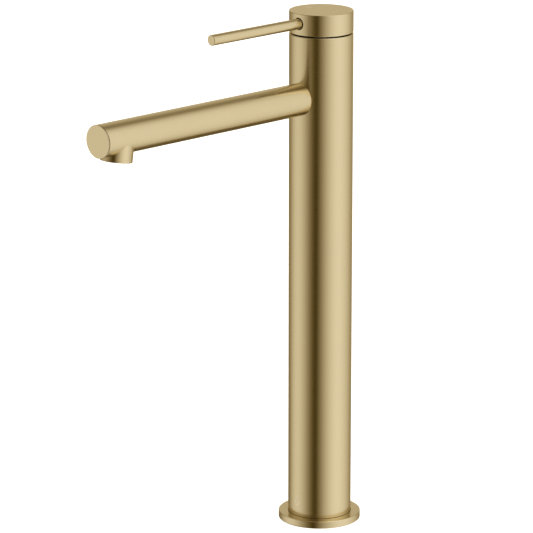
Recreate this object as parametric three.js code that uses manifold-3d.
// Tall single-lever basin mixer: a round column on a deck flange, a straight horizontal spout with a
// tilted outlet, and a round hub with a thin pin lever on top. Millimetres, +Z up. The origin is on the
// column's axis at the deck, the spout and the lever point to -Y, and hot is on the -X side.
// Inside are a 35 mm ceramic cartridge, its manifold, two riser tubes and the base plug they end in.
import * as THREE from "three";
import { mergeVertices } from "three/addons/utils/BufferGeometryUtils.js";
import Module from "manifold-3d";

const wasm = await Module();
wasm.setup();

// ---------------------------------------------------------------- driving dimensions
const FAUCET_HEIGHT = 346; // deck to the top of the hub
const SPOUT_REACH = 194.8; // column axis to the spout's end face
const OUTLET_SETBACK = 17.4; // end face back to where the outlet's axis crosses the spout's axis
const OUTLET_TILT = THREE.MathUtils.degToRad(8.5); // outlet leans out towards the user

const FIT = 0.3; // radial gap between pieces that fit together
const FACE = 0.1; // gap between faces that rest on each other
const EDGE = 0.4; // small edge break on the visible pieces

const CARTRIDGE_R = 17.5; // standard 35 mm cartridge
const CARTRIDGE_SCALE = CARTRIDGE_R / 17.5; // sizes that grow with the cartridge are multiplied by this
const CARTRIDGE_GAP = 0.9; // round the cartridge in the column
const COLUMN_WALL = 2.6;
const RIM_BEVEL = 0.5; // edge break on the column's rim
const HUB_HEIGHT = 14;
const HUB_SEAM = 0.9; // visible gap between column and hub
const HUB_TOP_WALL = 3.2; // above the hub's hollow
const HUB_CLEARANCE = 0.3; // hub's hollow over the column's rim as the hub tilts
const STEM_LEAN = THREE.MathUtils.degToRad(12); // stem leans this far forward when closed, and back when open

const FLANGE_OVERHANG = 6.3; // past the column's side
const FLANGE_HEIGHT = 5;
const FLANGE_LEDGE = 2; // thickness under the column's foot
const GASKET_WIDTH = 3;
const GASKET_HEIGHT = 1.9;
const GASKET_INSET = 2.2; // from the flange's edge to the gasket's groove

const PLUG_HEIGHT = 24;
const HOSE_PORT_R = 4.6; // M10x1 female
const HOSE_PORT_DEPTH = 11;
const PORT_WEB = 2; // between hose port and riser socket
const PORT_WEB_BORE_R = 3.6;
const STUD_HOLE_R = 3.35; // M8 female
const STUD_HOLE_DEPTH = 16;
const STUD_INSET = 6.6; // stud axis from the plug's side

const RISER_R = 5 * CARTRIDGE_SCALE;
const RISER_WALL = 1;
const RISER_INSET = 8.5 * CARTRIDGE_SCALE; // riser axis from the plug's side
const RISER_RING_R = 0.8; // section radius of a riser's O-ring
const RING_FROM_MOUTH = 4.6; // O-ring's middle from the mouth of its socket

const MANIFOLD_HEIGHT = 30;
const RISER_SOCKET_DEPTH = 13;
const PORT_DROP = 8.4; // spout axis below the cartridge's seat
const CHANNEL_R = 2.4;
const MIXED_BORE_R = 4.4;
const MIXED_BORE_BACK = 4.5; // blind end of the mixed-water bore behind the column's axis
const NIPPLE_THREAD_R = 6;
const NIPPLE_THREAD_END = 8.3; // from the column's axis

const INLET_PORT_R = 2.6 * CARTRIDGE_SCALE;
const INLET_PORT_OFFSET = 6.6 * CARTRIDGE_SCALE; // both in X and towards the front
const OUTLET_PORT_R = 3 * CARTRIDGE_SCALE;
const OUTLET_PORT_BACK = 2 * CARTRIDGE_SCALE; // outlet port behind the axis
const SEAL_WIDTH = 1.2;
const SEAL_HEIGHT = 1.25;
const PEG_R = 1.5;
const PEG_LENGTH = 3;
const PEG_X = 12.2 * CARTRIDGE_SCALE;
const PEG_Y = 5 * CARTRIDGE_SCALE;

const CARTRIDGE_BASE_HEIGHT = 4;
const FIXED_DISC_HEIGHT = 3.5;
const MOVING_DISC_HEIGHT = 3;
const MIXING_CAVITY_R = 6.6 * CARTRIDGE_SCALE;
const MIXING_CAVITY_DEPTH = 1.4;
const DRIVE_PLATE_HEIGHT = 3.5;
const DRIVE_PEG_R = 1.2;
const DRIVE_PEG_EDGE = 0.4; // from a peg to the side of the plate
const DRIVE_PEG_Y = 3;
const DRIVE_PEG_LENGTH = 1.2;
const HOUSING_WALL = 2.3;
const HOUSING_SHOULDER = 3; // height of the shoulder above the pivot
const HOUSING_ABOVE_PIVOT = 9;
const HOUSING_LID = 2.5;
const NECK_INSET = 2.9; // from the cartridge's side to its neck
const STEM_HOLE_R = 9.5 * CARTRIDGE_SCALE;
const CARRIER_FLANGE_HEIGHT = 2.5;
const CARRIER_BOSS_R = 11.4 * CARTRIDGE_SCALE;
const GUIDE_RAIL_WIDTH = 3.4 * CARTRIDGE_SCALE;
const GUIDE_RAIL_LENGTH = 10;
const PIVOT_ABOVE_SEAT = 20;

const STEM_WIDTH = 7;
const STEM_TOP_GAP = 0.95; // stem's end under the sphere of the hub's hollow
const STEM_BARREL_R = 4.2;
const STEM_ARM = 7; // pivot to the ball that drives the disc
const STEM_BALL_R = 2;
const PIVOT_PIN_R = 1.5;

const NUT_HEIGHT = 5;
const NUT_NOTCHES = 6;
const NUT_NOTCH_WIDTH = 4;
const NUT_NOTCH_DEPTH = 2;
const DOME_CLEARANCE = 0.55; // dome ring under the hub's hollow
const LIMIT_RING_R = 10.8 * CARTRIDGE_SCALE; // inner radius
const LIMIT_RING_HEIGHT = 1.8;
const LIMIT_RING_TEETH = 12;

const SOCKET_BOSS_R = 7.5 * CARTRIDGE_SCALE;
const SOCKET_BOSS_START = 11.8; // along the stem, above the pivot
const LEVER_R = 3.5;
const LEVER_REACH = 98.4; // column axis to the lever's tip
const LEVER_ABOVE_SEAM = 0.54 * HUB_HEIGHT; // lever axis above the hub's underside
const LEVER_RECESS_GAP = 0.9; // round the lever in its counterbore
const LEVER_RECESS_DEPTH = 1.4;
const LEVER_SHANK_R = 2; // M4
const LEVER_SHANK_LENGTH = 3.6;
const SET_SCREW_R = 2;
const SET_SCREW_LENGTH = 4.2 * CARTRIDGE_SCALE;
const SET_SCREW_KEY = 2; // across flats

const SPOUT_R = 10.6;
const SPOUT_WALL = 2;
const END_CAP_RIM = 0.7;
const END_CAP_SEAM = 0.3;
const END_CAP_SPIGOT = 5;
const NIPPLE_LENGTH = 9; // of the part inside the spout
const SPOUT_RING_R = 0.75; // section radius of the nipple's O-rings

const STUB_R = SPOUT_R - 0.4;
const STUB_LENGTH = 4.2; // of the stub below the spout, along its own axis
const STUB_WALL = 0.95; // round the aerator's thread, M18.5x1
const AERATOR_POCKET = 4.2; // depth of the thread
const PASSAGE_R = SPOUT_R - 3.6; // water way from the spout into the outlet
const AERATOR_RECESS = 0.3; // aerator above the outlet's lip
const AERATOR_HEIGHT = 3.2;
const AERATOR_WALL = 1.4;
const AERATOR_LIP_WIDTH = 1;
const AERATOR_LIP_HEIGHT = 0.8;
const SCREEN_HEIGHT = 1.1;
const SCREEN_PITCH = 2.3;
const SCREEN_HOLE = 1.5; // side of one square hole
const REGULATOR_HEIGHT = 1;
const REGULATOR_HOLES = 8;
const REGULATOR_HOLE_R = 0.8;
const AERATOR_GASKET_HEIGHT = 0.5;

const FINE = 60; // facets round the large visible pieces
const MEDIUM = 40;
const COARSE = 16;
const SMALL = 12;
const RING_SIDES = 6; // facets of an O-ring's section

// ---------------------------------------------------------------- derived places
const COLUMN_BORE_R = CARTRIDGE_R + CARTRIDGE_GAP;
const COLUMN_R = COLUMN_BORE_R + COLUMN_WALL;
const INSERT_R = COLUMN_BORE_R - FIT; // anything screwed into the column
const FLANGE_R = COLUMN_R + FLANGE_OVERHANG;
const RIM_Z = FAUCET_HEIGHT - HUB_HEIGHT - HUB_SEAM;
// The pivot is as deep below the rim as lets the hub's hollow, a sphere about it, clear the rim's
// bevelled edge and leave the hub its top wall.
const HUB_ROOM = HUB_HEIGHT + HUB_SEAM - HUB_TOP_WALL - HUB_CLEARANCE; // from the rim to the rim's own sphere
const PIVOT_DEPTH = (COLUMN_R ** 2 + RIM_BEVEL ** 2 - HUB_ROOM ** 2) / (2 * HUB_ROOM + 2 * RIM_BEVEL);
const PIVOT_Z = RIM_Z - PIVOT_DEPTH;
const SEAT_Z = PIVOT_Z - PIVOT_ABOVE_SEAT; // cartridge's seat, the manifold's top
const SPOUT_Z = SEAT_Z - PORT_DROP;
const HUB_BASE = PIVOT_DEPTH + HUB_SEAM; // above the pivot
const HUB_TOP = HUB_BASE + HUB_HEIGHT;
const LEVER_Z = HUB_BASE + LEVER_ABOVE_SEAM; // above the pivot

const STUD_OFFSET = INSERT_R - STUD_INSET;
const RISER_OFFSET = INSERT_R - RISER_INSET;
const RISER_SOCKET_R = RISER_R + FIT;
const RISER_GROOVE_R = RISER_R + 2 * RISER_RING_R + 0.3;
const RISER_FOOT_Z = HOSE_PORT_DEPTH + PORT_WEB + FACE;
const RISER_HEAD_Z = SEAT_Z - MANIFOLD_HEIGHT + RISER_SOCKET_DEPTH - FACE;

const HOUSING_BORE_R = CARTRIDGE_R - HOUSING_WALL;
const NECK_R = CARTRIDGE_R - NECK_INSET;
const DISC_TRAVEL = 2 * STEM_ARM * Math.sin(STEM_LEAN); // closed to fully open
const DISC_REST_Y = DISC_TRAVEL / 2; // closed: behind the axis
const MOVING_DISC_R = HOUSING_BORE_R - DISC_REST_Y - FIT;
const FIXED_DISC_Z = CARTRIDGE_BASE_HEIGHT + FACE; // above the seat, like the next three
const MOVING_DISC_Z = FIXED_DISC_Z + FIXED_DISC_HEIGHT + FACE;
const DRIVE_PLATE_Z = MOVING_DISC_Z + MOVING_DISC_HEIGHT + FACE;
const CARRIER_Z = DRIVE_PLATE_Z + DRIVE_PLATE_HEIGHT + FIT;
const CARRIER_LEDGE_Z = CARRIER_Z + CARRIER_FLANGE_HEIGHT + FIT;
const HOUSING_TOP = PIVOT_ABOVE_SEAT + HOUSING_ABOVE_PIVOT;
const GUIDE_RAIL_X = HOUSING_BORE_R - FIT - GUIDE_RAIL_WIDTH - 2; // inner side of a rail
const DRIVE_PEG_X = GUIDE_RAIL_X - FIT - DRIVE_PEG_R - DRIVE_PEG_EDGE;
const BALL_POCKET = 2 * (STEM_BALL_R + FIT + 0.15);

// The farthest point of the column's bevelled rim from the pivot.
const RIM_REACH = Math.max(
  Math.hypot(COLUMN_R, PIVOT_DEPTH - RIM_BEVEL),
  Math.hypot(COLUMN_R - RIM_BEVEL, PIVOT_DEPTH),
);
const HOLLOW_R = RIM_REACH + HUB_CLEARANCE;
const DOME_R = HOLLOW_R - DOME_CLEARANCE;
const STEM_LENGTH = HOLLOW_R - STEM_TOP_GAP; // above the pivot

const SPOUT_BORE_R = SPOUT_R - SPOUT_WALL;
const NIPPLE_R = SPOUT_BORE_R - FIT;
const NIPPLE_SHOULDER = INSERT_R + 0.5; // from the column's axis
const OUTLET_REACH = SPOUT_REACH - OUTLET_SETBACK;
const STUB_DROP = SPOUT_R + STUB_LENGTH; // spout axis to the outlet's lip
const AERATOR_THREAD_R = STUB_R - STUB_WALL;
const AERATOR_R = AERATOR_THREAD_R - FIT;
const AERATOR_END = STUB_DROP - AERATOR_RECESS;
const AERATOR_START = AERATOR_END - AERATOR_HEIGHT;
const AERATOR_BORE_R = AERATOR_R - AERATOR_WALL;

// ---------------------------------------------------------------- materials
const finish = (color, roughness, metalness) => new THREE.MeshStandardMaterial({ color, roughness, metalness });
const BRUSHED_GOLD = finish(0xb89c68, 0.34, 1);
const RAW_BRASS = finish(0xb5a14e, 0.45, 1);
const COPPER = finish(0xb06f4a, 0.35, 1);
const STEEL = finish(0x9a9a98, 0.35, 1);
const RUBBER = finish(0x161616, 0.85, 0);
const WHITE_PLASTIC = finish(0xe4e2da, 0.5, 0);
const GREY_PLASTIC = finish(0x6d7074, 0.55, 0);
const BLACK_PLASTIC = finish(0x1c1b19, 0.6, 0);
const RED_PLASTIC = finish(0xa32920, 0.5, 0);
const CERAMIC = finish(0xf2efe6, 0.2, 0);

// ---------------------------------------------------------------- solids
// A closed three.js geometry as a solid that can be joined and cut.
function solid(geometry) {
  const bare = geometry.index ? geometry.toNonIndexed() : geometry.clone();
  bare.deleteAttribute("normal");
  bare.deleteAttribute("uv");
  const merged = mergeVertices(bare, 1e-4);
  const triangles = [];
  for (let i = 0; i < merged.index.count; i += 3) {
    const [a, b, c] = [0, 1, 2].map((k) => merged.index.getX(i + k));
    if (a !== b && b !== c && a !== c) triangles.push(a, b, c);
  }
  return new wasm.Manifold(
    new wasm.Mesh({
      numProp: 3,
      vertProperties: merged.attributes.position.array,
      triVerts: new Uint32Array(triangles),
    }),
  );
}

// A named mesh of a solid, with its place left to the caller.
function piece(name, made, material) {
  const { numProp, vertProperties, triVerts } = made.getMesh();
  const interleaved = new THREE.InterleavedBuffer(vertProperties, numProp);
  const geometry = new THREE.BufferGeometry();
  geometry.setAttribute("position", new THREE.InterleavedBufferAttribute(interleaved, 3, 0));
  geometry.setIndex(new THREE.BufferAttribute(triVerts, 1));
  const flat = geometry.toNonIndexed();
  flat.computeVertexNormals();
  const mesh = new THREE.Mesh(flat, material);
  mesh.name = name;
  return mesh;
}

const cutAll = (body, cutters) => cutters.reduce((left, cutter) => left.subtract(cutter), body);
const joinAll = (solids) => solids.reduce((whole, next) => whole.add(next));

// Turned about +Z. The outline's [radius, height] pairs run up the outside and down the inside.
function turnedGeometry(outline, segments) {
  const points = outline.map(([r, z]) => new THREE.Vector2(r, z));
  return new THREE.LatheGeometry(points, segments).rotateX(Math.PI / 2);
}
const turned = (outline, segments = MEDIUM) => solid(turnedGeometry(outline, segments));

const rodOutline = (r, from, to) => [[0, from], [r, from], [r, to], [0, to]];
const ringOutline = (inner, outer, from, to) => [
  [inner, from], [outer, from], [outer, to], [inner, to], [inner, from],
];
const rod = (r, from, to, segments) => turned(rodOutline(r, from, to), segments);
const ring = (inner, outer, from, to, segments) => turned(ringOutline(inner, outer, from, to), segments);

// A rod about a line parallel to +Z through (x, y).
const rodAt = (x, y, r, from, to, segments = COARSE) =>
  solid(turnedGeometry(rodOutline(r, from, to), segments).translate(x, y, 0));

// A rod about the line from one point to another.
function rodBetween(start, end, r, segments = SMALL) {
  const direction = end.clone().sub(start);
  const turn = new THREE.Quaternion().setFromUnitVectors(
    new THREE.Vector3(0, 0, 1),
    direction.clone().normalize(),
  );
  const geometry = turnedGeometry(rodOutline(r, 0, direction.length()), segments);
  return solid(geometry.applyQuaternion(turn).translate(start.x, start.y, start.z));
}

// A rod that runs along -Y from one distance in front of the axis to another, at a height.
const rodForward = (r, from, to, height = 0, segments = COARSE) =>
  rodBetween(new THREE.Vector3(0, -from, height), new THREE.Vector3(0, -to, height), r, segments);

const block = (width, depth, height, x = 0, y = 0, z = 0) =>
  solid(new THREE.BoxGeometry(width, depth, height).translate(x, y, z));

// An O-ring about +Z, as its middle radius and its section's radius.
function oRing(middle, section, segments = COARSE) {
  const outline = [];
  for (let i = 0; i <= RING_SIDES; i++) {
    const angle = (2 * Math.PI * i) / RING_SIDES;
    outline.push([middle + section * Math.cos(angle), section * Math.sin(angle)]);
  }
  outline[RING_SIDES] = outline[0];
  return turned(outline, segments);
}

// Places a mesh or a group.
function place(object, x, y, z) {
  object.position.set(x, y, z);
  return object;
}
function groupAt(x, y, z, ...members) {
  const group = new THREE.Group();
  group.add(...members);
  return place(group, x, y, z);
}

// ---------------------------------------------------------------- column and base
function columnTube() {
  const foot = FLANGE_LEDGE + FACE;
  const tube = turned(
    [
      [COLUMN_BORE_R, foot],
      [COLUMN_R, foot],
      [COLUMN_R, RIM_Z - RIM_BEVEL],
      [COLUMN_R - RIM_BEVEL, RIM_Z],
      [COLUMN_BORE_R, RIM_Z],
      [COLUMN_BORE_R, foot],
    ],
    FINE,
  );
  const spoutHole = rodForward(SPOUT_R + FIT, 0, COLUMN_R + 1, SPOUT_Z, MEDIUM);
  return piece("column_tube", tube.subtract(spoutHole), BRUSHED_GOLD);
}

const GASKET_R = FLANGE_R - GASKET_INSET;
function baseFlange() {
  const flange = turned(
    [
      [INSERT_R + FIT, 0],
      [FLANGE_R - EDGE, 0],
      [FLANGE_R, EDGE],
      [FLANGE_R, FLANGE_HEIGHT - EDGE],
      [FLANGE_R - EDGE, FLANGE_HEIGHT],
      [COLUMN_R + FIT, FLANGE_HEIGHT],
      [COLUMN_R + FIT, FLANGE_LEDGE],
      [INSERT_R + FIT, FLANGE_LEDGE],
      [INSERT_R + FIT, 0],
    ],
    FINE,
  );
  const groove = ring(GASKET_R - GASKET_WIDTH - FIT, GASKET_R + FIT, -1, GASKET_HEIGHT + FACE, FINE);
  return piece("base_flange", flange.subtract(groove), BRUSHED_GOLD);
}

function baseGasket() {
  const gasket = ring(GASKET_R - GASKET_WIDTH, GASKET_R, 0, GASKET_HEIGHT, MEDIUM);
  return piece("base_gasket", gasket, RUBBER);
}

// One side's stepped water way through a block: socket for the riser, groove for its O-ring.
function riserSocket(x, mouth, inward) {
  const end = mouth + inward * RISER_SOCKET_DEPTH;
  const ringMiddle = mouth + inward * RING_FROM_MOUTH;
  const half = RISER_RING_R + 0.3;
  const [low, high] = inward > 0 ? [mouth - 1, end] : [end, mouth + 1];
  return joinAll([
    rodAt(x, 0, RISER_SOCKET_R, low, high),
    rodAt(x, 0, RISER_GROOVE_R, ringMiddle - half, ringMiddle + half),
  ]);
}

function basePlug() {
  const cutters = [];
  for (const side of [-1, 1]) {
    const x = side * RISER_OFFSET;
    cutters.push(rodAt(x, 0, HOSE_PORT_R, -1, HOSE_PORT_DEPTH));
    cutters.push(rodAt(x, 0, PORT_WEB_BORE_R, 0, PLUG_HEIGHT));
    cutters.push(rodAt(x, 0, RISER_SOCKET_R, HOSE_PORT_DEPTH + PORT_WEB, PLUG_HEIGHT + 1));
    const ringZ = PLUG_HEIGHT - RING_FROM_MOUTH;
    cutters.push(rodAt(x, 0, RISER_GROOVE_R, ringZ - RISER_RING_R - 0.3, ringZ + RISER_RING_R + 0.3));
    cutters.push(rodAt(0, side * STUD_OFFSET, STUD_HOLE_R, -1, STUD_HOLE_DEPTH));
  }
  return piece("base_plug", cutAll(rod(INSERT_R, 0, PLUG_HEIGHT, MEDIUM), cutters), RAW_BRASS);
}

// A riser tube with the O-ring at each of its ends.
function riser(side, name) {
  const x = side * RISER_OFFSET;
  const tube = ring(RISER_R - RISER_WALL, RISER_R, RISER_FOOT_Z, RISER_HEAD_Z, COARSE);
  const section = oRing(RISER_R + RISER_RING_R + 0.15, RISER_RING_R);
  const makeRing = (end) => piece(`${name}_riser_${end}_o_ring`, section, RUBBER);
  return groupAt(
    x,
    0,
    0,
    piece(`${name}_riser_tube`, tube, COPPER),
    place(makeRing("lower"), 0, 0, PLUG_HEIGHT - RING_FROM_MOUTH),
    place(makeRing("upper"), 0, 0, SEAT_Z - MANIFOLD_HEIGHT + RING_FROM_MOUTH),
  );
}

// ---------------------------------------------------------------- manifold under the cartridge
// Its own frame has the cartridge's seat at height 0.
function valveManifold() {
  const foot = -MANIFOLD_HEIGHT;
  const cutters = [
    rodForward(MIXED_BORE_R, -MIXED_BORE_BACK, COLUMN_R, -PORT_DROP),
    rodForward(NIPPLE_THREAD_R + FIT, NIPPLE_THREAD_END - FIT, COLUMN_R, -PORT_DROP),
    rodAt(0, OUTLET_PORT_BACK, OUTLET_PORT_R, -PORT_DROP, 1, SMALL),
  ];
  for (const side of [-1, 1]) {
    cutters.push(riserSocket(side * RISER_OFFSET, foot, 1));
    const top = new THREE.Vector3(side * INLET_PORT_OFFSET, -INLET_PORT_OFFSET, 0);
    const bottom = new THREE.Vector3(side * RISER_OFFSET, 0, foot + RISER_SOCKET_DEPTH - 1);
    const past = top.clone().sub(bottom).normalize();
    cutters.push(rodBetween(bottom, top.add(past), CHANNEL_R));
    cutters.push(rodAt(side * PEG_X, PEG_Y, PEG_R + FIT, -PEG_LENGTH - FIT, 1, SMALL));
  }
  return piece("valve_manifold", cutAll(rod(INSERT_R, foot, 0, MEDIUM), cutters), RAW_BRASS);
}

// ---------------------------------------------------------------- cartridge, fixed pieces
const INLET_PORTS = [-1, 1].map((side) => [side * INLET_PORT_OFFSET, -INLET_PORT_OFFSET]);
const PORT_BORES = () => [
  ...INLET_PORTS.map(([x, y]) => rodAt(x, y, INLET_PORT_R, -1, HOUSING_TOP, SMALL)),
  rodAt(0, OUTLET_PORT_BACK, OUTLET_PORT_R, -1, HOUSING_TOP, SMALL),
];

// The three places where a port is sealed: name, x, y and the seal's inner radius.
const SEALS = [
  ["hot_port_seal", ...INLET_PORTS[0], INLET_PORT_R + FIT],
  ["cold_port_seal", ...INLET_PORTS[1], INLET_PORT_R + FIT],
  ["mixed_port_seal", 0, OUTLET_PORT_BACK, OUTLET_PORT_R + FIT],
];

function cartridgeBase() {
  const pegs = [-1, 1].map((side) => rodAt(side * PEG_X, PEG_Y, PEG_R, -PEG_LENGTH, 1, SMALL));
  const pockets = SEALS.map(([, x, y, inner]) =>
    rodAt(x, y, inner + SEAL_WIDTH + FIT, -1, SEAL_HEIGHT + FACE, COARSE),
  );
  const body = joinAll([rod(CARTRIDGE_R, 0, CARTRIDGE_BASE_HEIGHT, MEDIUM), ...pegs]);
  return piece("cartridge_base", cutAll(body, [...pockets, ...PORT_BORES()]), WHITE_PLASTIC);
}

const portSeals = () =>
  SEALS.map(([name, x, y, inner]) =>
    place(piece(name, ring(inner, inner + SEAL_WIDTH, 0.05, SEAL_HEIGHT, COARSE), RUBBER), x, y, 0),
  );

function fixedDisc() {
  const blank = rod(HOUSING_BORE_R - FIT, FIXED_DISC_Z, FIXED_DISC_Z + FIXED_DISC_HEIGHT, MEDIUM);
  return piece("fixed_ceramic_disc", cutAll(blank, PORT_BORES()), CERAMIC);
}

function cartridgeHousing() {
  const foot = CARTRIDGE_BASE_HEIGHT + FACE;
  const shoulder = PIVOT_ABOVE_SEAT + HOUSING_SHOULDER;
  const lid = HOUSING_TOP - HOUSING_LID;
  const bossBore = CARRIER_BOSS_R + FIT;
  const shell = turned([
    [HOUSING_BORE_R, foot],
    [CARTRIDGE_R, foot],
    [CARTRIDGE_R, shoulder],
    [NECK_R, shoulder],
    [NECK_R, HOUSING_TOP],
    [STEM_HOLE_R, HOUSING_TOP],
    [STEM_HOLE_R, lid],
    [bossBore, lid],
    [bossBore, CARRIER_LEDGE_Z],
    [HOUSING_BORE_R, CARRIER_LEDGE_Z],
    [HOUSING_BORE_R, foot],
  ]);
  return piece("cartridge_housing", shell, GREY_PLASTIC);
}

function cartridgeNut() {
  const foot = PIVOT_ABOVE_SEAT + HOUSING_SHOULDER + FACE;
  const top = foot + NUT_HEIGHT;
  const notches = [];
  for (let i = 0; i < NUT_NOTCHES; i++) {
    const notch = new THREE.BoxGeometry(NUT_NOTCH_WIDTH, 2 * CARTRIDGE_R, 2 * NUT_NOTCH_DEPTH);
    notch.translate(0, NECK_R + FIT + CARTRIDGE_R - 0.5, top).rotateZ((2 * Math.PI * i) / NUT_NOTCHES);
    notches.push(solid(notch));
  }
  return piece("cartridge_nut", cutAll(ring(NECK_R + FIT, INSERT_R, foot, top, MEDIUM), notches), RAW_BRASS);
}

function limitRing() {
  const foot = HOUSING_TOP + FACE;
  const band = ring(LIMIT_RING_R, NECK_R - 1, foot, foot + LIMIT_RING_HEIGHT, MEDIUM);
  const teeth = [];
  for (let i = 0; i < LIMIT_RING_TEETH; i++) {
    const tooth = new THREE.BoxGeometry(1, 1.6, LIMIT_RING_HEIGHT);
    tooth.translate(0, NECK_R - 1, foot + LIMIT_RING_HEIGHT / 2).rotateZ((2 * Math.PI * i) / LIMIT_RING_TEETH);
    teeth.push(solid(tooth));
  }
  return piece("hot_limit_ring", joinAll([band, ...teeth]), RED_PLASTIC);
}

// The dark ring behind the seam; its top is a sphere about the lever's pivot, like the hub's hollow.
function domeRing() {
  const foot = PIVOT_ABOVE_SEAT + HOUSING_SHOULDER + FACE + NUT_HEIGHT + FACE;
  const inner = NECK_R + FIT;
  const outline = [[inner, foot], [INSERT_R, foot]];
  const steps = 4;
  for (let i = 0; i <= steps; i++) {
    const r = INSERT_R + ((inner - INSERT_R) * i) / steps;
    outline.push([r, PIVOT_ABOVE_SEAT + Math.sqrt(DOME_R ** 2 - r ** 2)]);
  }
  outline.push([inner, foot]);
  return piece("dome_ring", turned(outline), BLACK_PLASTIC);
}

// ---------------------------------------------------------------- cartridge, moving pieces
function stemCarrier() {
  const top = HOUSING_TOP - HOUSING_LID - FIT;
  const flangeTop = CARRIER_Z + CARRIER_FLANGE_HEIGHT;
  const flangeR = HOUSING_BORE_R - FIT;
  const body = turned([
    [0, CARRIER_Z],
    [flangeR, CARRIER_Z],
    [flangeR, flangeTop],
    [CARRIER_BOSS_R, flangeTop],
    [CARRIER_BOSS_R, top],
    [0, top],
  ]);
  const railFoot = DRIVE_PLATE_Z + FIT;
  const railHeight = CARRIER_Z - railFoot + 1;
  const rails = [-1, 1].map((side) =>
    block(
      GUIDE_RAIL_WIDTH,
      GUIDE_RAIL_LENGTH,
      railHeight,
      side * (GUIDE_RAIL_X + GUIDE_RAIL_WIDTH / 2),
      0,
      railFoot + railHeight / 2,
    ),
  );
  const slotDepth = 2 * (STEM_WIDTH / 2 + HOUSING_ABOVE_PIVOT * Math.tan(STEM_LEAN) + FIT);
  const slot = block(STEM_WIDTH + 1.4, slotDepth, 2 * HOUSING_TOP, 0, 0, PIVOT_ABOVE_SEAT);
  const pinHole = solid(
    turnedGeometry(rodOutline(PIVOT_PIN_R + FIT, -HOUSING_TOP, HOUSING_TOP), SMALL)
      .rotateY(Math.PI / 2)
      .translate(0, 0, PIVOT_ABOVE_SEAT),
  );
  return piece("stem_carrier", cutAll(joinAll([body, ...rails]), [slot, pinHole]), WHITE_PLASTIC);
}

function pivotPin() {
  const half = CARRIER_BOSS_R - FIT;
  const pin = solid(turnedGeometry(rodOutline(PIVOT_PIN_R, -half, half), SMALL).rotateY(Math.PI / 2));
  return place(piece("pivot_pin", pin, STEEL), 0, 0, PIVOT_ABOVE_SEAT);
}

// The disc and its drive plate are modelled about their own centre, which rests behind the axis.
function movingDisc() {
  const top = MOVING_DISC_Z + MOVING_DISC_HEIGHT;
  const cutters = [rod(MIXING_CAVITY_R, 0, MOVING_DISC_Z + MIXING_CAVITY_DEPTH, COARSE)];
  for (const side of [-1, 1]) {
    const depth = DRIVE_PEG_LENGTH + FIT;
    cutters.push(rodAt(side * DRIVE_PEG_X, DRIVE_PEG_Y, DRIVE_PEG_R + FIT, top - depth, top + 1, SMALL));
  }
  const blank = rod(MOVING_DISC_R, MOVING_DISC_Z, top, MEDIUM);
  return place(piece("moving_ceramic_disc", cutAll(blank, cutters), CERAMIC), 0, DISC_REST_Y, 0);
}

function drivePlate() {
  const middle = DRIVE_PLATE_Z + DRIVE_PLATE_HEIGHT / 2;
  const round = rod(MOVING_DISC_R - 1.2, DRIVE_PLATE_Z, DRIVE_PLATE_Z + DRIVE_PLATE_HEIGHT, MEDIUM);
  const flats = block(2 * (GUIDE_RAIL_X - FIT), 4 * CARTRIDGE_R, 2 * DRIVE_PLATE_HEIGHT, 0, 0, middle);
  const pegs = [-1, 1].map((side) =>
    rodAt(side * DRIVE_PEG_X, DRIVE_PEG_Y, DRIVE_PEG_R, DRIVE_PLATE_Z - DRIVE_PEG_LENGTH, middle, SMALL),
  );
  const pocket = block(BALL_POCKET, BALL_POCKET, 2 * DRIVE_PLATE_HEIGHT, 0, 0, middle);
  const plate = joinAll([round.intersect(flats), ...pegs]).subtract(pocket);
  return place(piece("drive_plate", plate, GREY_PLASTIC), 0, DISC_REST_Y, 0);
}

// ---------------------------------------------------------------- handle, in frames at the lever's pivot
// Along the stem: square bar, barrel for the pin, and an arm that ends in a ball.
function stem() {
  const bar = block(STEM_WIDTH, STEM_WIDTH, STEM_LENGTH, 0, 0, STEM_LENGTH / 2);
  const barrel = solid(
    turnedGeometry(rodOutline(STEM_BARREL_R, -STEM_WIDTH / 2 - 0.3, STEM_WIDTH / 2 + 0.3), COARSE).rotateY(
      Math.PI / 2,
    ),
  );
  const arm = turned([[0, -STEM_ARM], [0.7 * STEM_BALL_R, -STEM_ARM], [3, -2], [3, 0], [0, 0]], SMALL);
  const ball = solid(new THREE.SphereGeometry(STEM_BALL_R, 12, 8).translate(0, 0, -STEM_ARM));
  const pinHole = solid(
    turnedGeometry(rodOutline(PIVOT_PIN_R + FIT, -STEM_WIDTH, STEM_WIDTH), SMALL).rotateY(Math.PI / 2),
  );
  return piece("stem", joinAll([bar, barrel, arm, ball]).subtract(pinHole), RAW_BRASS);
}

const leaned = (geometry) => solid(geometry.rotateX(STEM_LEAN));

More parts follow.
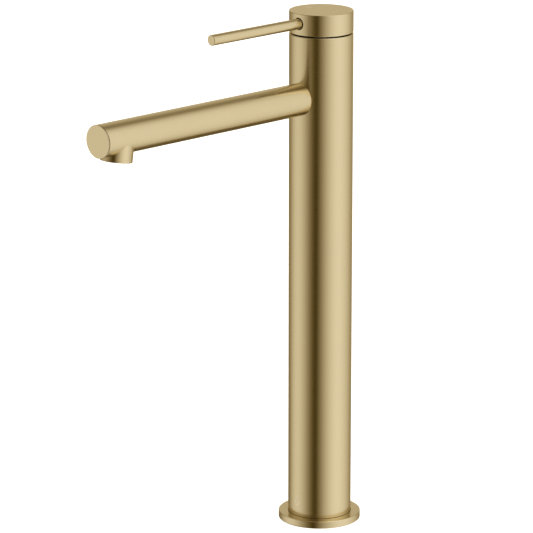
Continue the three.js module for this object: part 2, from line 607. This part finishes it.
function handleHub() {
  const outline = [];
  const steps = 7;
  const lip = Math.asin(HUB_BASE / HOLLOW_R);
  for (let i = 0; i <= steps; i++) {
    const angle = Math.PI / 2 - ((Math.PI / 2 - lip) * i) / steps;
    outline.push([i ? HOLLOW_R * Math.cos(angle) : 0, HOLLOW_R * Math.sin(angle)]);
  }
  outline.push(
    [Math.max(COLUMN_R - EDGE, HOLLOW_R * Math.cos(lip) + 0.05), HUB_BASE],
    [COLUMN_R, HUB_BASE + EDGE],
    [COLUMN_R, HUB_TOP - EDGE],
    [COLUMN_R - EDGE, HUB_TOP],
    [0, HUB_TOP],
  );
  const bossTop = STEM_LENGTH + 2;
  const boss = leaned(turnedGeometry(rodOutline(SOCKET_BOSS_R, SOCKET_BOSS_START, bossTop), COARSE));
  const socketSide = STEM_WIDTH + 2 * FIT;
  const socketLength = STEM_LENGTH + FIT;
  const socket = leaned(
    new THREE.BoxGeometry(socketSide, socketSide, socketLength).translate(0, 0, socketLength / 2),
  );
  const recessFloor = COLUMN_R - LEVER_RECESS_DEPTH;
  const shankEnd = recessFloor - LEVER_SHANK_LENGTH;
  const cutters = [
    socket,
    rodForward(LEVER_R + LEVER_RECESS_GAP, recessFloor, COLUMN_R + 1, LEVER_Z, MEDIUM),
    rodForward(LEVER_SHANK_R + FIT, shankEnd, COLUMN_R, LEVER_Z),
    rodForward(SET_SCREW_R + FIT, 0, COLUMN_R, LEVER_Z, SMALL),
  ];
  return piece("handle_hub", cutAll(turned(outline, FINE).add(boss), cutters), BRUSHED_GOLD);
}

// The lever and its set screw lie along their own +Z, which the lever's group turns to -Y.
const LEVER_SEAT = COLUMN_R - LEVER_RECESS_DEPTH + FIT; // where the rod's shoulder stops
function leverPin() {
  const pin = turned(
    [
      [0, LEVER_SEAT - LEVER_SHANK_LENGTH],
      [LEVER_SHANK_R, LEVER_SEAT - LEVER_SHANK_LENGTH],
      [LEVER_SHANK_R, LEVER_SEAT],
      [LEVER_R, LEVER_SEAT],
      [LEVER_R, LEVER_REACH - EDGE],
      [LEVER_R - EDGE, LEVER_REACH],
      [0, LEVER_REACH],
    ],
    MEDIUM,
  );
  return piece("lever_pin", pin, BRUSHED_GOLD);
}

function setScrew() {
  const top = STEM_LENGTH;
  const stemFace = top * Math.sin(STEM_LEAN) + (STEM_WIDTH / 2) * Math.cos(STEM_LEAN);
  const tip = stemFace + FIT;
  const keyR = SET_SCREW_KEY / Math.sqrt(3);
  const key = solid(turnedGeometry(rodOutline(keyR, tip + SET_SCREW_LENGTH / 2, tip + 2 * SET_SCREW_LENGTH), 6));
  const screw = turned([[0, tip], [SET_SCREW_R - 0.6, tip], [SET_SCREW_R, tip + 0.6],
    [SET_SCREW_R, tip + SET_SCREW_LENGTH], [0, tip + SET_SCREW_LENGTH]], SMALL);
  return piece("handle_set_screw", screw.subtract(key), STEEL);
}

// ---------------------------------------------------------------- spout, along its own +Z with +Y up
const towardsDeck = (geometry) => geometry.rotateX(Math.PI / 2 - OUTLET_TILT).translate(0, 0, OUTLET_REACH);

function spoutTube() {
  const end = SPOUT_REACH - END_CAP_RIM - END_CAP_SEAM;
  const tube = turned(
    [
      [SPOUT_BORE_R, 0],
      [SPOUT_R, 0],
      [SPOUT_R, end - EDGE / 2],
      [SPOUT_R - EDGE / 2, end],
      [SPOUT_BORE_R, end],
      [SPOUT_BORE_R, 0],
    ],
    MEDIUM,
  );
  const bore = turnedGeometry(rodOutline(COLUMN_BORE_R + FACE, -COLUMN_R, COLUMN_R), FINE);
  const passage = turnedGeometry(rodOutline(PASSAGE_R, 0, STUB_DROP), COARSE);
  const pocket = turnedGeometry(rodOutline(AERATOR_THREAD_R, STUB_DROP - AERATOR_POCKET, STUB_DROP), MEDIUM);
  const cutters = [solid(bore.rotateX(Math.PI / 2)), solid(towardsDeck(passage)), solid(towardsDeck(pocket))];
  return piece("spout_tube", cutAll(tube, cutters), BRUSHED_GOLD);
}

function spoutEndCap() {
  const seat = SPOUT_REACH - END_CAP_RIM;
  const spigotR = SPOUT_BORE_R - FIT;
  const cap = turned(
    [
      [0, seat - END_CAP_SPIGOT],
      [spigotR, seat - END_CAP_SPIGOT],
      [spigotR, seat],
      [SPOUT_R, seat],
      [SPOUT_R, SPOUT_REACH - EDGE],
      [SPOUT_R - EDGE, SPOUT_REACH],
      [0, SPOUT_REACH],
    ],
    MEDIUM,
  );
  return piece("spout_end_cap", cap, BRUSHED_GOLD);
}

// Middles of the nipple's two O-rings, from the column's axis.
const SPOUT_RINGS = [0.28, 0.72].map((share) => NIPPLE_SHOULDER + share * NIPPLE_LENGTH);

function spoutNipple() {
  const end = NIPPLE_SHOULDER + NIPPLE_LENGTH;
  const body = turned(
    [
      [MIXED_BORE_R, NIPPLE_THREAD_END],
      [NIPPLE_THREAD_R, NIPPLE_THREAD_END],
      [NIPPLE_THREAD_R, NIPPLE_SHOULDER],
      [NIPPLE_R, NIPPLE_SHOULDER],
      [NIPPLE_R, end],
      [MIXED_BORE_R, end],
      [MIXED_BORE_R, NIPPLE_THREAD_END],
    ],
    COARSE,
  );
  const half = SPOUT_RING_R + 0.25;
  const grooves = SPOUT_RINGS.map((z) =>
    ring(NIPPLE_R - 2 * SPOUT_RING_R, NIPPLE_R + 2, z - half, z + half, COARSE),
  );
  return piece("spout_nipple", cutAll(body, grooves), RAW_BRASS);
}

const spoutRings = () =>
  SPOUT_RINGS.map((z, i) =>
    place(
      piece(`spout_o_ring_${i + 1}`, oRing(NIPPLE_R - SPOUT_RING_R + 0.15, SPOUT_RING_R - 0.05), RUBBER),
      0,
      0,
      z,
    ),
  );

// The outlet's own frame has +Z along the water, from the crossing of the two axes.
function outletStub() {
  const pocket = STUB_DROP - AERATOR_POCKET;
  const body = turned([[0, 0], [STUB_R, 0], [STUB_R, STUB_DROP - EDGE], [STUB_R - EDGE, STUB_DROP], [0, STUB_DROP]]);
  const saddle = turnedGeometry(rodOutline(SPOUT_R + FIT, -3 * STUB_R, 3 * STUB_R), MEDIUM);
  const cutters = [
    solid(saddle.rotateX(OUTLET_TILT - Math.PI / 2)),
    rod(PASSAGE_R, -1, STUB_DROP + 1, COARSE),
    rod(AERATOR_THREAD_R, pocket, STUB_DROP + 1, MEDIUM),
  ];
  const cut = cutAll(body, cutters);
  // Cutting the round spout out of the stub also leaves its top half, which isn't part of the stub.
  const lowest = cut.decompose().sort((a, b) => b.volume() - a.volume())[0];
  return piece("outlet_stub", lowest, BRUSHED_GOLD);
}

function aeratorHousing() {
  const lip = AERATOR_END - AERATOR_LIP_HEIGHT;
  const shell = turned(
    [
      [AERATOR_BORE_R, AERATOR_START],
      [AERATOR_R, AERATOR_START],
      [AERATOR_R, AERATOR_END],
      [AERATOR_BORE_R - AERATOR_LIP_WIDTH, AERATOR_END],
      [AERATOR_BORE_R - AERATOR_LIP_WIDTH, lip],
      [AERATOR_BORE_R, lip],
      [AERATOR_BORE_R, AERATOR_START],
    ],
    MEDIUM,
  );
  return piece("aerator_housing", shell, GREY_PLASTIC);
}

function aeratorScreen() {
  const top = AERATOR_END - AERATOR_LIP_HEIGHT - FACE;
  const outer = AERATOR_BORE_R - FIT;
  const reach = AERATOR_BORE_R - AERATOR_LIP_WIDTH - 0.2;
  const holes = [];
  const count = Math.floor(reach / SCREEN_PITCH);
  for (let i = -count; i <= count; i++)
    for (let j = -count; j <= count; j++) {
      const corner = Math.hypot(Math.abs(i) * SCREEN_PITCH + SCREEN_HOLE / 2, Math.abs(j) * SCREEN_PITCH + SCREEN_HOLE / 2);
      if (corner < reach)
        holes.push(block(SCREEN_HOLE, SCREEN_HOLE, 4 * SCREEN_HEIGHT, i * SCREEN_PITCH, j * SCREEN_PITCH, top));
    }
  return piece("aerator_screen", cutAll(rod(outer, top - SCREEN_HEIGHT, top, COARSE), holes), WHITE_PLASTIC);
}

function flowRegulator() {
  const top = AERATOR_END - AERATOR_LIP_HEIGHT - SCREEN_HEIGHT - 3 * FACE;
  const outer = AERATOR_BORE_R - FIT;
  const holes = [];
  for (let i = 0; i < REGULATOR_HOLES; i++) {
    const angle = (2 * Math.PI * i) / REGULATOR_HOLES;
    const distance = outer - 2.5 * REGULATOR_HOLE_R;
    holes.push(rodAt(distance * Math.cos(angle), distance * Math.sin(angle), REGULATOR_HOLE_R, 0, STUB_DROP, 8));
  }
  const disc = rod(outer, top - REGULATOR_HEIGHT, top, COARSE);
  return piece("flow_regulator", cutAll(disc, holes), GREY_PLASTIC);
}

function aeratorGasket() {
  const top = AERATOR_START - FACE;
  return piece("aerator_gasket", ring(PASSAGE_R, AERATOR_R, top - AERATOR_GASKET_HEIGHT, top, COARSE), RUBBER);
}

// ---------------------------------------------------------------- assembly
const outlet = groupAt(
  0,
  0,
  OUTLET_REACH,
  outletStub(),
  aeratorHousing(),
  aeratorScreen(),
  flowRegulator(),
  aeratorGasket(),
);
outlet.rotation.x = Math.PI / 2 - OUTLET_TILT;

const spout = groupAt(0, 0, SPOUT_Z, spoutNipple(), ...spoutRings(), spoutTube(), spoutEndCap(), outlet);
spout.rotation.x = Math.PI / 2;

const cartridge = groupAt(
  0,
  0,
  SEAT_Z,
  valveManifold(),
  cartridgeBase(),
  ...portSeals(),
  fixedDisc(),
  movingDisc(),
  drivePlate(),
  stemCarrier(),
  pivotPin(),
  cartridgeHousing(),
  cartridgeNut(),
  limitRing(),
  domeRing(),
);

const stemGroup = groupAt(0, 0, 0, stem());
stemGroup.rotation.x = STEM_LEAN;
const leverGroup = groupAt(0, 0, LEVER_Z, leverPin(), setScrew());
leverGroup.rotation.x = Math.PI / 2;
const handle = groupAt(0, 0, PIVOT_Z, handleHub(), stemGroup, leverGroup);

const faucet = new THREE.Group();
faucet.add(
  columnTube(),
  baseFlange(),
  baseGasket(),
  basePlug(),
  riser(-1, "hot"),
  riser(1, "cold"),
  cartridge,
  handle,
  spout,
);

export default faucet;
